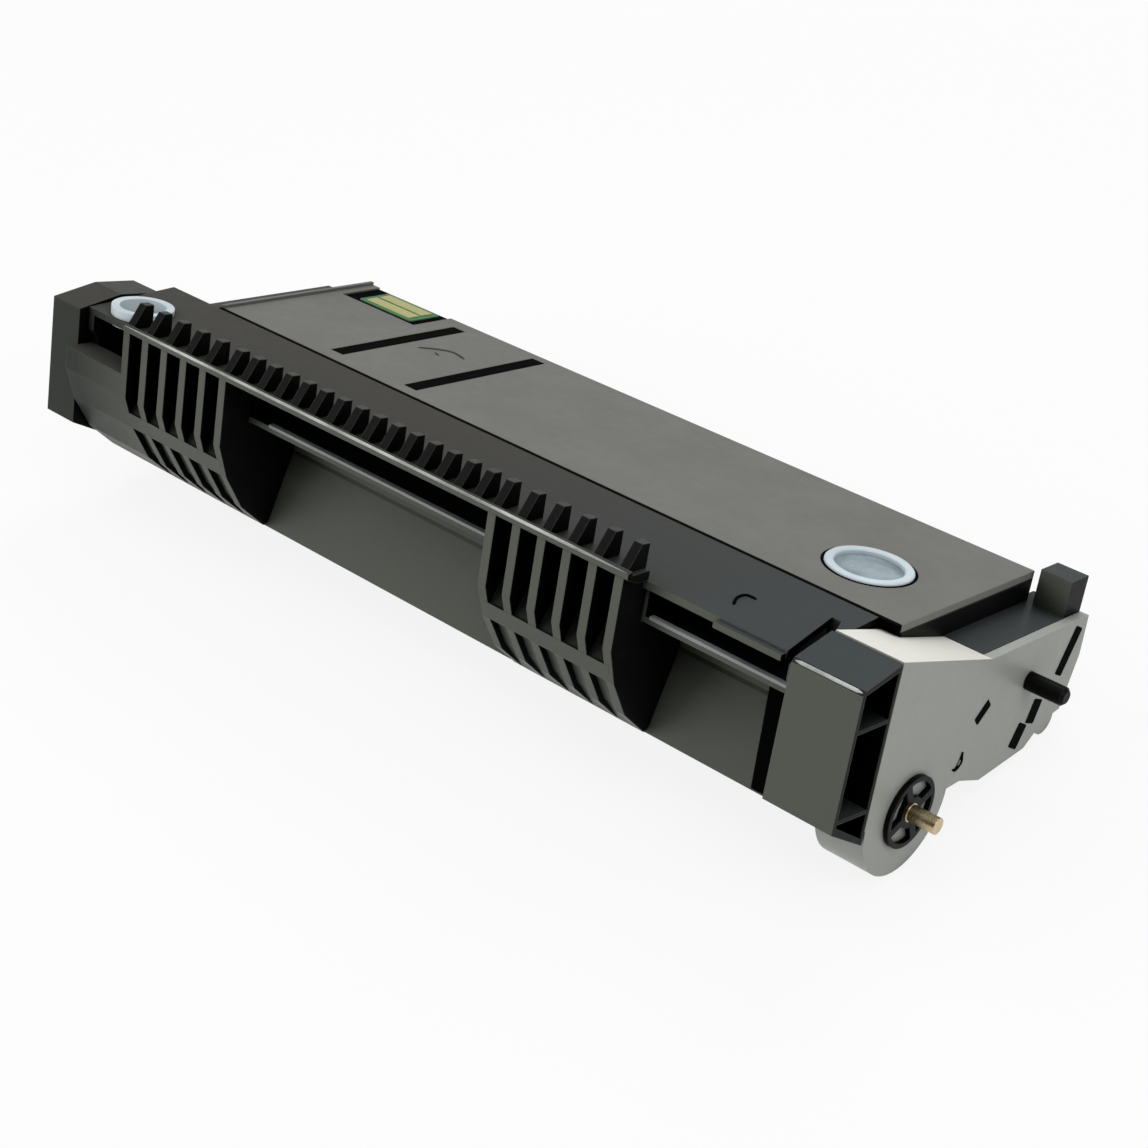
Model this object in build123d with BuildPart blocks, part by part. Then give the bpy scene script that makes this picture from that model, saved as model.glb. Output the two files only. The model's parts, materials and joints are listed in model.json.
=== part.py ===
from build123d import *
from math import acos, asin, atan2, cos, degrees, hypot, pi, radians, sin, sqrt, tan
import os

# Toner cartridge for a desktop laser printer, in millimetres.
# X runs along the rollers with 0 at the outer face of the right end cover, Y runs from
# the grip to the rear, and Z stands square to the hopper lid. The finished pieces are
# then leaned back onto the two end lobes and the rear feet, which is how it rests.

# Lengths along the rollers
right_cover_depth = 14.0
frame_right_x = -20.0
hopper_length = 248.0
gear_case_play = 5.4
left_block_width = 10.0
right_block_width = 19.6
wall = 2.0
end_wall = 2.4
plate = 2.6
seat_gap = 0.2
run_fit = 0.06

# Heights and depths of the housings
lid_top = 37.4
lid_thickness = 2.0
lid_front_y = 40.6
lid_back_y = 102.3
strip_front_y = 8.1
strip_front_z = 35.1
strip_back_y = 39.3

# Drum, rollers and gears
drum_y = 37.5
drum_z = -5.0
drum_radius = 12.0
drum_wall = 1.0
drum_shaft_radius = 2.5
shaft_stickout = 9.0
roller_gap = 0.3
gear_module = 0.8
drum_teeth = 30
developer_teeth = 20
idler_big_teeth = 22
idler_small_teeth = 14
supply_teeth = 16
agitator_idler_teeth = 12
agitator_teeth = 26
addendum = 0.8
dedendum = 1.05
backlash = 0.14
pressure_angle = 20.0
gear_width = 6.5
gear_spacing = 1.2
developer_direction = 21.0
supply_direction = 12.0
supply_radius = 6.5
charge_radius = 4.25
charge_direction = 93.0
core_radius = 3.0
charge_core_radius = 2.5
agitator_y = 88.5
agitator_z = 13.0
agitator_sweep = 11.2
agitator_shaft_radius = 2.5
stud_radius = 2.0
bush_wall = 2.0

# Lobe and feet that the cartridge rests on
lobe_radius = 17.5
foot_y = 99.5
foot_z = 1.5
foot_radius = 4.2
left_foot_length = 8.4

# Grip comb
grip_right_x = -65.5
right_fins_x = -68.2
fin_pitch = 8.4
fin_thickness = 2.7
fins_per_side = 6
crest_teeth = 14
rail_thickness = 1.5
grip_wall = 1.6

# Stations worked out from the lengths
hopper_right_x = -right_cover_depth - seat_gap
hopper_left_x = hopper_right_x - hopper_length
inner_gear_x = hopper_left_x - gear_spacing
outer_gear_x = inner_gear_x - gear_width - gear_spacing
frame_left_x = outer_gear_x - gear_width - gear_case_play
left_plate_x = frame_left_x - seat_gap
left_outer_x = left_plate_x - plate
left_end_x = left_outer_x - left_block_width
grip_left_x = frame_left_x + 1.0
left_fins_x = frame_left_x + 27.9


def pitch_radius(teeth):
    return gear_module * teeth / 2


def stepped(start, distance, direction):
    """Point at a distance from start in a direction given in degrees above +Y."""
    return (start[0] + distance * cos(radians(direction)), start[1] + distance * sin(radians(direction)))


def two_mesh(first, reach_first, second, reach_second):
    """Centre of a gear that stands above two others and meshes with both."""
    dy, dz = second[0] - first[0], second[1] - first[1]
    span = hypot(dy, dz)
    along = (reach_first**2 - reach_second**2 + span**2) / (2 * span)
    rise = sqrt(reach_first**2 - along**2)
    return (first[0] + (along * dy - rise * dz) / span, first[1] + (along * dz + rise * dy) / span)


def heading(start, end):
    return degrees(atan2(end[1] - start[1], end[0] - start[0]))


# Centres in the side view, from the meshes and the roller gaps
drum_at = (drum_y, drum_z)
developer_reach = pitch_radius(drum_teeth + developer_teeth)
developer_at = stepped(drum_at, developer_reach, developer_direction)
developer_radius = developer_reach - drum_radius - roller_gap
supply_at = stepped(developer_at, developer_radius + supply_radius + roller_gap, supply_direction)
charge_at = stepped(drum_at, drum_radius + charge_radius + roller_gap, charge_direction)
idler_at = two_mesh(
    developer_at, pitch_radius(developer_teeth + idler_big_teeth),
    supply_at, pitch_radius(idler_small_teeth + supply_teeth))
agitator_at = (agitator_y, agitator_z)
agitator_idler_at = two_mesh(
    idler_at, pitch_radius(idler_small_teeth + agitator_idler_teeth),
    agitator_at, pitch_radius(agitator_idler_teeth + agitator_teeth))

# The lean at rest: the common tangent under the right lobe and the rear feet, and a left foot on it
foot_at = (foot_y, foot_z)
foot_span = hypot(foot_y - drum_y, foot_z - drum_z)
lean = heading(drum_at, foot_at) + degrees(asin((lobe_radius - foot_radius) / foot_span))


def ground_z(y):
    """Height of the surface it rests on, before the cartridge is leaned back."""
    return drum_z - lobe_radius / cos(radians(lean)) + (y - drum_y) * tan(radians(lean))


def side(x):
    """Side-view plane at x: the first coordinate is depth, the second is height."""
    return Plane.YZ.offset(x)


def level(z):
    return Plane.XY.offset(z)


os.makedirs("parts", exist_ok=True)
model = {}


def keep(piece, name):
    piece.part.label = name
    model[name] = piece.part


def prism(points, x_from, x_to, mode=Mode.ADD):
    """Side-view polygon carried along X between two stations, inside a part block."""
    with BuildSketch(side(x_from)) as outline:
        with BuildLine():
            Polyline(*points, close=True)
        make_face()
    extrude(outline.sketch, amount=x_to - x_from, mode=mode)


def rod(centre, radius, x_from, x_to, mode=Mode.ADD):
    """Round bar along X between two stations, inside a part block."""
    with BuildSketch(side(x_from)) as disc:
        with Locations(centre):
            Circle(radius)
    extrude(disc.sketch, amount=x_to - x_from, mode=mode)


def bar(y_from, y_to, z_from, z_to, x_from, x_to, mode=Mode.ADD):
    """Rectangular bar along X between two stations, inside a part block."""
    prism([(y_from, z_from), (y_from, z_to), (y_to, z_to), (y_to, z_from)], x_from, x_to, mode)


def square_bar(centre, half_side, x_from, x_to, mode=Mode.ADD):
    """Square bar about a centre line along X, inside a part block."""
    y, z = centre
    bar(y - half_side, y + half_side, z - half_side, z + half_side, x_from, x_to, mode)


def end_face(points, rounds):
    """Face of an end plate: its polygon with the round lobes and feet, each a centre and a radius."""
    with BuildSketch(Plane.XY) as face:
        with BuildLine():
            Polyline(*points, close=True)
        make_face()
        for centre, radius in rounds:
            with Locations(centre):
                Circle(radius)
    return face.sketch


# Right end cover: plate with slots, skirt open above, and the slope that runs on over the frame's end
plate_front_y = 19.6
plate_front_z = 39.4
shelf_z = 29.0
shelf_front_y = 62.1
shelf_back_y = 109.6
right_outline = [
    (plate_front_y, plate_front_z), (shelf_front_y, shelf_z), (shelf_back_y, shelf_z), (110.2, 17.5),
    (106.7, 2.6), foot_at, (91.7, -4.6), (71.0, -7.4), (60.8, -4.4), (50.0, -5.0), drum_at,
    (plate_front_y, drum_z)]
slope_left_x = -19.2
bush_seat_half = 3.4
guide_pin_at = (84.7, 17.0)
guide_pin_radius = 2.5
guide_pin_length = 11.0
pin_tang_half = 1.7
pin_chamfer = 0.8
cover_screw_at = (64.0, 13.9)
screw_radius = 1.5
screw_head_radius = 3.6
screw_head_height = 1.2
screw_length = 10.0
plate_slots = [
    ((103.1, 20.4), 66.0, 12.6, 2.6), ((92.1, 6.1), 72.0, 6.0, 3.4), ((86.4, 0.6), 65.0, 6.2, 3.6),
    ((58.0, 1.8), 65.0, 5.4, 1.3)]
contact_post_at = [(82.0, 6.0), (97.0, 10.0)]
contact_post_half = 1.8
contact_x = -7.0
contact_thickness = 0.5



def slope_z(y):
    """Height of the sloping top between the plate's front corner and the shelf."""
    return plate_front_z + (y - plate_front_y) * (shelf_z - plate_front_z) / (shelf_front_y - plate_front_y)


def open_cells(cells, x_open, x_deep, back_y):
    """Cells of an end block, open at its outer face, behind its front wall."""
    front_y = block_front_y + block_wall
    for (front_low, front_high), (back_low, back_high) in cells:
        prism([(front_y, front_low), (front_y, front_high), (back_y, back_high), (back_y, back_low)],
              x_open, x_deep, Mode.SUBTRACT)


with BuildPart() as right_end_cover:
    with BuildSketch(side(0)):
        add(end_face(right_outline, ((foot_at, foot_radius), (drum_at, lobe_radius))))
    extrude(amount=-right_cover_depth)
    with BuildSketch(side(-plate)):
        add(end_face(right_outline, ((foot_at, foot_radius), (drum_at, lobe_radius))))
        offset(amount=-wall, mode=Mode.REPLACE)
    extrude(amount=-right_cover_depth, mode=Mode.SUBTRACT)
    bar(shelf_front_y, shelf_back_y + wall, shelf_z - wall, shelf_z + wall,
        -plate, -right_cover_depth, Mode.SUBTRACT)
    slope_end_y = lid_front_y - seat_gap
    prism([(plate_front_y, slope_z(plate_front_y) - wall), (plate_front_y, slope_z(plate_front_y)),
           (slope_end_y, slope_z(slope_end_y)), (slope_end_y, slope_z(slope_end_y) - wall)],
          -plate, slope_left_x)
    for post_at in contact_post_at:
        square_bar(post_at, contact_post_half, -plate, contact_x + contact_thickness)
    square_bar(drum_at, bush_seat_half + run_fit, 0, -plate, Mode.SUBTRACT)
    square_bar(guide_pin_at, pin_tang_half, 0, -plate, Mode.SUBTRACT)
    for centre, angle, length, width in plate_slots:
        with BuildSketch(side(0)):
            with Locations(Location(centre, angle)):
                Rectangle(length, width)
        extrude(amount=-plate, mode=Mode.SUBTRACT)
    rod(cover_screw_at, screw_head_radius, 0, -screw_head_height, Mode.SUBTRACT)
    rod(cover_screw_at, screw_radius + run_fit, 0, -plate, Mode.SUBTRACT)
keep(right_end_cover, "right_end_cover")

# Guide pin with its square tang pressed into the right end cover
with BuildPart() as guide_pin:
    rod(guide_pin_at, guide_pin_radius, 0, guide_pin_length)
    chamfer(guide_pin.edges().group_by(Axis.X)[-1], pin_chamfer)
    square_bar(guide_pin_at, pin_tang_half, -plate, 0)
keep(guide_pin, "guide_pin")

# Spoked bushing that holds the drum shaft: a ring and hub on the plate, with a square seat through it
spokes = 4
spoke_angle = 25.0
spoke_width = 2.2
bush_radius = 9.6
bush_rim = 1.3
bush_hub_radius = 4.2
bush_proud = 1.4
with BuildPart() as shaft_bushing:
    rod(drum_at, bush_radius, 0, bush_proud)
    rod(drum_at, bush_radius - bush_rim, 0, bush_proud, Mode.SUBTRACT)
    with BuildSketch(side(0)):
        with Locations(drum_at):
            with PolarLocations(bush_radius / 2, spokes, spoke_angle):
                Rectangle(bush_radius - bush_rim / 2, spoke_width)
    extrude(amount=bush_proud)
    rod(drum_at, bush_hub_radius, 0, bush_proud)
    square_bar(drum_at, bush_seat_half, -plate, 0)
    rod(drum_at, drum_shaft_radius + run_fit, -plate, bush_proud, Mode.SUBTRACT)
keep(shaft_bushing, "shaft_bushing")

# Fixed shaft through the drum, with a thinner journal at its outer end
shaft_left_x = frame_left_x + end_wall + 20.0
journal_radius = 2.2
with BuildPart() as drum_shaft:
    rod(drum_at, drum_shaft_radius, shaft_left_x, bush_proud)
    rod(drum_at, journal_radius, bush_proud, shaft_stickout)
keep(drum_shaft, "drum_shaft")

# Drum frame: top strip, walls, front panel, ledge, end walls, ribs and a block with three cells at the right
block_front_y = 4.8
block_top_z = 35.8
block_edge = 1.0
block_wall = 1.2
block_back_y = plate_front_y - seat_gap
right_block = [
    (block_front_y, block_top_z - block_edge), (block_front_y + block_edge, block_top_z),
    (block_back_y, plate_front_z - 0.5), (block_back_y, -8.6), (block_front_y, -1.0)]
right_cells = [
    [(25.6, 34.6), (25.2, 37.2)], [(2.4, 24.6), (1.4, 24.2)], [(0.6, 1.4), (-6.6, 0.4)]]
strip_slope = (lid_top - strip_front_z) / (strip_back_y - strip_front_y)
ledge_front_y = 10.0
ledge_top_z = 25.3
ledge_thickness = 1.6
ledge_left_x = hopper_left_x
back_wall_y = 28.5
panel_top = (28.0, 10.9)
panel_bottom = (20.7, -10.4)
panel_thickness = 1.4
rear_wall_low_z = 17.2
holder_width = 4.2
holder_half = 3.0
partition = 2.2
holder_left_x = hopper_left_x + end_wall + seat_gap
holder_right_x = frame_right_x - end_wall - 4.0
frame_lobe = 12.6
drive_boss_radius = 7.5
drive_hole_radius = drive_boss_radius + 0.4
strip_cut_depth = 6.0
corner_notch = [(frame_right_x + 1.0, strip_front_y - 1.0), (frame_right_x - 3.4, strip_front_y - 1.0),
                (frame_right_x - 7.0, 30.0), (frame_right_x - 4.2, 30.0), (frame_right_x + 1.0, 16.0)]
lip_tab_x = -43.8
lip_tab_length = 20.0
port_at = (frame_left_x + 12.0, 18.2)
port_radius = 9.2
left_group_end = left_fins_x + fin_pitch * (fins_per_side - 1)
right_group_start = right_fins_x - fin_pitch * (fins_per_side - 1)


def strip_z(y):
    return strip_front_z + (y - strip_front_y) * strip_slope


frame_end = [
    (strip_front_y, strip_front_z), (strip_back_y, lid_top), (strip_back_y, rear_wall_low_z),
    (drum_y + 6.0, 6.0), drum_at, panel_bottom, panel_top, (ledge_front_y, ledge_top_z - ledge_thickness),
    (ledge_front_y, ledge_top_z), (strip_front_y, ledge_top_z + 3.0)]

with BuildPart() as drum_frame:
    prism([(strip_front_y, strip_front_z - wall), (strip_front_y, strip_front_z), (strip_back_y, lid_top),
           (strip_back_y, lid_top - wall)], frame_left_x, frame_right_x)
    prism([(strip_back_y - wall, rear_wall_low_z), (strip_back_y, rear_wall_low_z), (strip_back_y, lid_top),
           (strip_back_y - wall, lid_top - wall / 2)], frame_left_x, frame_right_x)
    inner_top_z = strip_z(back_wall_y) - wall / 2
    prism([(back_wall_y, inner_top_z), (back_wall_y + wall, inner_top_z),
           (back_wall_y + wall, panel_top[1] + 6.6), (panel_top[0] + panel_thickness, panel_top[1] + 0.6),
           (panel_bottom[0] + panel_thickness, panel_bottom[1]),
           panel_bottom, panel_top, (back_wall_y, panel_top[1] + 1.0)], frame_left_x, frame_right_x)
    bar(ledge_front_y, back_wall_y + wall / 2, ledge_top_z - ledge_thickness, ledge_top_z,
        ledge_left_x, frame_right_x)
    for x_from, x_to in ((frame_left_x, frame_left_x + end_wall), (frame_right_x - end_wall, frame_right_x)):
        prism(frame_end, x_from, x_to)
        rod(drum_at, frame_lobe, x_from, x_to)
    rod(drum_at, pitch_radius(drum_teeth) + gear_module + 0.4, outer_gear_x + 0.5,
        outer_gear_x - gear_width - 0.5, Mode.SUBTRACT)
    rod(drum_at, drive_hole_radius, frame_left_x, frame_left_x + end_wall, Mode.SUBTRACT)
    rod(drum_at, drum_shaft_radius + run_fit, frame_right_x - end_wall, frame_right_x, Mode.SUBTRACT)
    for x_from in (holder_left_x - partition, holder_right_x):
        prism([(back_wall_y + wall / 2, 12.0), (back_wall_y + wall / 2, strip_z(back_wall_y) - wall / 2),
               (strip_back_y - wall / 2, lid_top - 1.5 * wall), (strip_back_y - wall / 2, rear_wall_low_z),
               (charge_at[0] + 3.4, rear_wall_low_z), (charge_at[0] + 3.4, 8.2), (back_wall_y + 5.0, 8.2)],
              x_from, x_from + partition)
    for x_from in (left_group_end - partition, right_group_start, right_fins_x):
        prism([(ledge_front_y, ledge_top_z - 0.5), (ledge_front_y, strip_z(ledge_front_y) - wall / 2),
               (back_wall_y + 0.5, strip_z(back_wall_y) - wall / 2), (back_wall_y + 0.5, ledge_top_z - 0.5)],
              x_from, x_from + partition)
    with BuildSketch(level(lid_top + 1.0)):
        with BuildLine():
            Polyline(*corner_notch, close=True)
        make_face()
    extrude(amount=-strip_cut_depth, mode=Mode.SUBTRACT)
    prism([(strip_front_y - 1.9, strip_front_z - 2.3), (strip_front_y - 1.9, strip_front_z - 0.7),
           (strip_front_y + 0.3, strip_front_z - 0.7), (strip_front_y + 0.3, strip_front_z - 2.3)],
          lip_tab_x, lip_tab_x + lip_tab_length)
    with BuildSketch(level(lid_top)):
        with Locations(port_at):
            Circle(port_radius)
    extrude(amount=-strip_cut_depth, mode=Mode.SUBTRACT)
    prism(right_block, frame_right_x, 0)
    open_cells(right_cells, 0, block_wall - right_block_width, block_back_y - 0.8)
keep(drum_frame, "drum_frame")

# Grip comb: rail with crest teeth, two groups of fins with pocket backs, and a left cheek
grip_back_y = strip_front_y - 0.1
rail_z = 38.9
fin_front = [(0.0, rail_z), (0.0, 17.8), (3.6, 7.9), (10.2, -2.4), (19.4, -9.8)]
fin_back = [(20.3, -8.6), (11.6, -0.8), (5.6, 8.6)]
grip_top_z = strip_front_z - wall - seat_gap
pocket_back_y = ledge_front_y - seat_gap
fin_head = [(pocket_back_y, grip_top_z), (grip_back_y, grip_top_z), (grip_back_y, rail_z)]
pocket_wall = [(pocket_back_y, 22.0), (pocket_back_y, grip_top_z), (8.2, grip_top_z), (8.2, 22.0),
               (2.2, 12.2), (4.0, 12.6)]
panel_slope = (panel_top[0] - panel_bottom[0]) / (panel_top[1] - panel_bottom[1])
fin_low_z = -9.0
under_ledge_z = ledge_top_z - ledge_thickness - seat_gap
fin_end = fin_front + [
    (panel_bottom[0] - seat_gap + (fin_low_z - panel_bottom[1]) * panel_slope, fin_low_z),
    (panel_top[0] - seat_gap, panel_top[1]), (panel_top[0] - seat_gap, under_ledge_z),
    (pocket_back_y, under_ledge_z)] + fin_head
fin_middle = fin_front + fin_back + [(4.0, 11.6), (pocket_back_y, 22.0)] + fin_head
crest = [(1.3, 38.0), (1.3, 39.2), (5.2, 45.0), (grip_back_y, 44.8), (grip_back_y, 38.0)]
band = [(1.7, 13.0), (3.6, 7.9), (6.2, 8.4), (4.6, 12.8)]
under_wall = [(6.6, 9.4), (5.0, 9.2), (11.3, -0.9), (19.4, -9.8), (20.3, -8.6), (12.6, 0.4)]
tooth_half = fin_thickness / 2
cheek_top_z = 24.3
cheek_back_y = 9.0

with BuildPart() as front_grip:
    prism([(-0.3, 37.5), (-0.3, rail_z), (rail_thickness - 0.3, rail_z + 0.4), (rail_thickness, 38.2),
           (grip_back_y, 38.2), (grip_back_y, 35.6), (4.0, 35.6), (0.4, 37.0)],
          left_fins_x - tooth_half, grip_right_x)
    for start, full_fins in ((left_fins_x, {fins_per_side - 1}), (right_group_start, {0, fins_per_side - 1})):
        for fin in range(fins_per_side):
            centre = start + fin * fin_pitch
            prism(fin_end if fin in full_fins else fin_middle, centre - tooth_half, centre + tooth_half)
            prism(crest, centre - tooth_half, centre + tooth_half)
        for section in (pocket_wall, band, under_wall):
            prism(section, start, start + fin_pitch * (fins_per_side - 1))
    crest_pitch = (right_group_start - left_group_end) / (crest_teeth + 1)
    for tooth in range(crest_teeth):
        centre = left_group_end + (tooth + 1) * crest_pitch
        prism(crest, centre - tooth_half, centre + tooth_half)
    cheek_front = [(cheek_back_y, cheek_top_z), (0.0, cheek_top_z)] + fin_front[1:]
    cheek_low_z = cheek_top_z - wall
    prism(cheek_front + fin_back + [(2.2, 17.8), (2.2, cheek_low_z), (cheek_back_y, cheek_low_z)],
          grip_left_x, left_fins_x)
    prism(cheek_front + [fin_back[0], (cheek_back_y, 8.0)], grip_left_x, grip_left_x + grip_wall)
keep(front_grip, "front_grip")

# Left end cover: plate over the gears, open skirt round them and the front block
skirt_front_y = 53.5
skirt_low_z = -9.2
left_outline = [
    (block_front_y, 34.8), (plate_front_y, 37.4), (34.0, 36.2), (47.0, shelf_z), (106.8, shelf_z),
    (108.2, 17.5), (106.7, 2.6), foot_at, (91.7, -6.0), (71.0, skirt_low_z),
    (skirt_front_y, skirt_low_z), drum_at,
    (plate_front_y + 1.4, -8.4), (block_front_y, -1.0)]
left_skirt = [
    (47.0, shelf_z), (106.8, shelf_z), (108.2, 17.5), (106.7, 2.6), foot_at, (91.7, -6.0),
    (71.0, skirt_low_z), (skirt_front_y, skirt_low_z)]
leg_front_y = skirt_front_y - 1.7
leg_back_y = leg_front_y + left_foot_length
left_leg = [
    (skirt_front_y, skirt_low_z + wall / 2), (leg_back_y, skirt_low_z + wall / 2),
    (leg_back_y, ground_z(leg_back_y)), (leg_front_y, ground_z(leg_front_y)), (leg_front_y, skirt_low_z)]
left_block = [
    (block_front_y, 34.8), (plate_front_y, 37.4), (34.0, 36.2), (34.0, 20.0), (plate_front_y + 1.4, -8.4),
    (block_front_y, -1.0)]
left_cells = [[(22.0, 33.0), (22.0, 34.6)], [(3.0, 20.4), (2.0, 20.4)]]
with BuildPart() as left_end_cover:
    with BuildSketch(side(left_plate_x)):
        add(end_face(left_outline, ((foot_at, foot_radius), (drum_at, frame_lobe))))
    extrude(amount=-plate)
    prism(left_leg, left_outer_x, hopper_left_x - seat_gap)
    prism(left_skirt, left_plate_x, hopper_left_x - seat_gap)
    with BuildSketch(side(left_plate_x)):
        with BuildLine():
            Polyline(*left_skirt, close=True)
        make_face()
        offset(amount=-wall, mode=Mode.REPLACE)
    extrude(amount=hopper_left_x - left_plate_x, mode=Mode.SUBTRACT)
    bar(lid_front_y, skirt_front_y + wall, skirt_low_z + wall, shelf_z - wall,
        left_plate_x, hopper_left_x, Mode.SUBTRACT)
    rod(foot_at, foot_radius, left_plate_x, hopper_left_x - seat_gap)
    prism(left_block, left_outer_x, left_end_x)
    open_cells(left_cells, left_end_x, left_outer_x - block_wall, plate_front_y - 1.2)
    rod(drum_at, drive_hole_radius, left_plate_x, left_outer_x, Mode.SUBTRACT)
keep(left_end_cover, "left_end_cover")

# Toner hopper: front wall, floor and rear wall between two end walls, open on top
hopper_top = lid_top - lid_thickness - seat_gap
hopper_front_y = lid_front_y + 0.6
front_wall_low_z = 13.6
front_wall = [
    (hopper_front_y, hopper_top), (hopper_front_y, 30.5), (46.4, front_wall_low_z), (48.6, front_wall_low_z),
    (hopper_front_y + wall, 30.9), (hopper_front_y + wall, hopper_top)]
floor_lip = (60.4, -7.2)
rear_wall = [
    (lid_back_y, hopper_top), (lid_back_y, 2.4), (99.6, -1.6), (90.0, -4.2), (72.0, -6.0), floor_lip,
    (floor_lip[0], floor_lip[1] + 1.4), (72.0, -3.9), (89.4, -2.2), (98.2, 0.2), (lid_back_y - wall, 3.4),
    (lid_back_y - wall, hopper_top)]
hopper_end = [
    (hopper_front_y, hopper_top), (hopper_front_y, 30.5), (46.4, front_wall_low_z), (50.6, 9.0), (50.6, -4.6),
    (53.0, -7.2), floor_lip, (72.0, -6.0), (90.0, -4.2), (99.6, -1.6), (lid_back_y, 2.4),
    (lid_back_y, hopper_top)]
boss_half = 3.0
stud_shoulder = 1.2
post_top_z = 39.0
post_width = 12.0
post_depth = 8.4
hopper_shafts = (
    (developer_at, core_radius), (supply_at, core_radius), (agitator_at, agitator_shaft_radius))
with BuildPart() as hopper_body:
    prism(front_wall, hopper_left_x, hopper_right_x)
    prism(rear_wall, hopper_left_x, hopper_right_x)
    for x_from in (hopper_left_x, hopper_right_x - end_wall):
        prism(hopper_end, x_from, x_from + end_wall)
        for centre, radius in hopper_shafts:
            square_bar(centre, radius + bush_wall, x_from, x_from + end_wall, Mode.SUBTRACT)
    bar(shelf_front_y + seat_gap, shelf_back_y, shelf_z - wall + seat_gap, shelf_z,
        hopper_right_x - end_wall, -plate - seat_gap)
    bar(shelf_back_y - post_depth, shelf_back_y, shelf_z - wall / 2, post_top_z,
        -post_width, -plate - seat_gap)
    square_bar(cover_screw_at, boss_half, hopper_right_x, -plate)
    rod(cover_screw_at, screw_radius, hopper_right_x, -plate, Mode.SUBTRACT)
    rod(idler_at, stud_radius, hopper_left_x, outer_gear_x - gear_width)
    rod(agitator_idler_at, stud_radius, hopper_left_x, inner_gear_x - gear_width)
    for stud_at in (idler_at, agitator_idler_at):
        square_bar(stud_at, stud_radius + stud_shoulder, hopper_left_x, inner_gear_x + seat_gap)
keep(hopper_body, "hopper_body")

# Hopper lid: fill hole, two long grooves, chip pocket and a raised rim at the left
fill_at = (hopper_right_x - 24.9, 62.9)
fill_radius = 11.6
groove_depth = 1.1
groove_width = 5.0
grooves = [(hopper_left_x + 45.2, 46.0, 97.0), (hopper_left_x + 76.7, 45.0, 99.0)]
chip_pocket = (hopper_left_x + 4.2, hopper_left_x + 36.2, 86.0)
with BuildPart() as hopper_lid:
    with BuildSketch(level(lid_top - lid_thickness)):
        with Locations(((hopper_left_x + hopper_right_x) / 2, (lid_front_y + lid_back_y) / 2)):
            Rectangle(hopper_length, lid_back_y - lid_front_y)
    extrude(amount=lid_thickness)
    with BuildSketch(level(lid_top)):
        with Locations((hopper_left_x + 0.6, (lid_front_y + lid_back_y) / 2)):
            Rectangle(1.2, lid_back_y - lid_front_y)
    extrude(amount=0.9)
    with BuildSketch(level(lid_top)):
        for x_mid, y_from, y_to in grooves:
            with Locations((x_mid, (y_from + y_to) / 2)):
                Rectangle(groove_width, y_to - y_from)
        with Locations(((chip_pocket[0] + chip_pocket[1]) / 2, (chip_pocket[2] + lid_back_y) / 2)):
            Rectangle(chip_pocket[1] - chip_pocket[0], lid_back_y - chip_pocket[2])
    extrude(amount=-groove_depth, mode=Mode.SUBTRACT)
    with BuildSketch(level(lid_top)):
        with Locations(fill_at):
            Circle(fill_radius)
    extrude(amount=-lid_thickness, mode=Mode.SUBTRACT)
keep(hopper_lid, "hopper_lid")

# Foam gasket between the hopper's rim and the lid is as thick as their gap
with BuildPart() as lid_gasket:
    with BuildSketch(level(hopper_top)):
        with Locations(((hopper_left_x + hopper_right_x) / 2, (hopper_front_y + lid_back_y) / 2)):
            Rectangle(hopper_length, lid_back_y - hopper_front_y)
            Rectangle(hopper_length - 2 * wall, lid_back_y - hopper_front_y - 2 * wall, mode=Mode.SUBTRACT)
    extrude(amount=seat_gap)
keep(lid_gasket, "lid_gasket")


# Fill cap pressed into the lid: a raised rim round a dished floor
plug_dish_radius = 9.0
plug_rim_height = 0.9
plug_floor_z = -0.9
plug_depth = 3.6
with BuildPart() as toner_fill_plug:
    with BuildSketch(Plane(origin=(*fill_at, lid_top), x_dir=(1, 0, 0), z_dir=(0, -1, 0))) as half:
        with BuildLine():
            Polyline((0, plug_floor_z), (plug_dish_radius, plug_floor_z), (plug_dish_radius, plug_rim_height),
                     (fill_radius, plug_rim_height), (fill_radius, -plug_depth), (0, -plug_depth), close=True)
        make_face()
    revolve(half.sketch, axis=Axis((*fill_at, 0), (0, 0, 1)))
keep(toner_fill_plug, "toner_fill_plug")

# Ring plug pressed into the strip at the left end
port_bore_radius = 6.8
port_plug_rise = 1.2
with BuildPart() as waste_port_plug:
    with BuildSketch(level(lid_top - strip_cut_depth + 1.0)):
        with Locations(port_at):
            Circle(port_radius)
            Circle(port_bore_radius, mode=Mode.SUBTRACT)
    extrude(amount=strip_z(port_at[1] + port_radius) + port_plug_rise - lid_top + strip_cut_depth - 1.0)
keep(waste_port_plug, "waste_port_plug")

# Chip: circuit board in the lid's pocket and its two contact pads
board_x = (chip_pocket[0] + 5.5, chip_pocket[0] + 28.5)
board_y = (chip_pocket[2] + 2.0, chip_pocket[2] + 15.0)
board_thickness = 1.0
with BuildPart() as chip_board:
    with BuildSketch(level(lid_top - groove_depth)):
        with Locations((sum(board_x) / 2, sum(board_y) / 2)):
            RectangleRounded(board_x[1] - board_x[0], board_y[1] - board_y[0], 1.0)
    extrude(amount=board_thickness)
keep(chip_board, "chip_board")
with BuildPart() as chip_pads:
    with BuildSketch(level(lid_top - groove_depth + board_thickness)):
        with Locations((sum(board_x) / 2, sum(board_y) / 2)):
            with GridLocations(0, 5.6, 1, 2):
                Rectangle(board_x[1] - board_x[0] - 4.0, 4.2)
    extrude(amount=0.25)
keep(chip_pads, "chip_pads")


def involute(angle):
    return tan(angle) - angle


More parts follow.
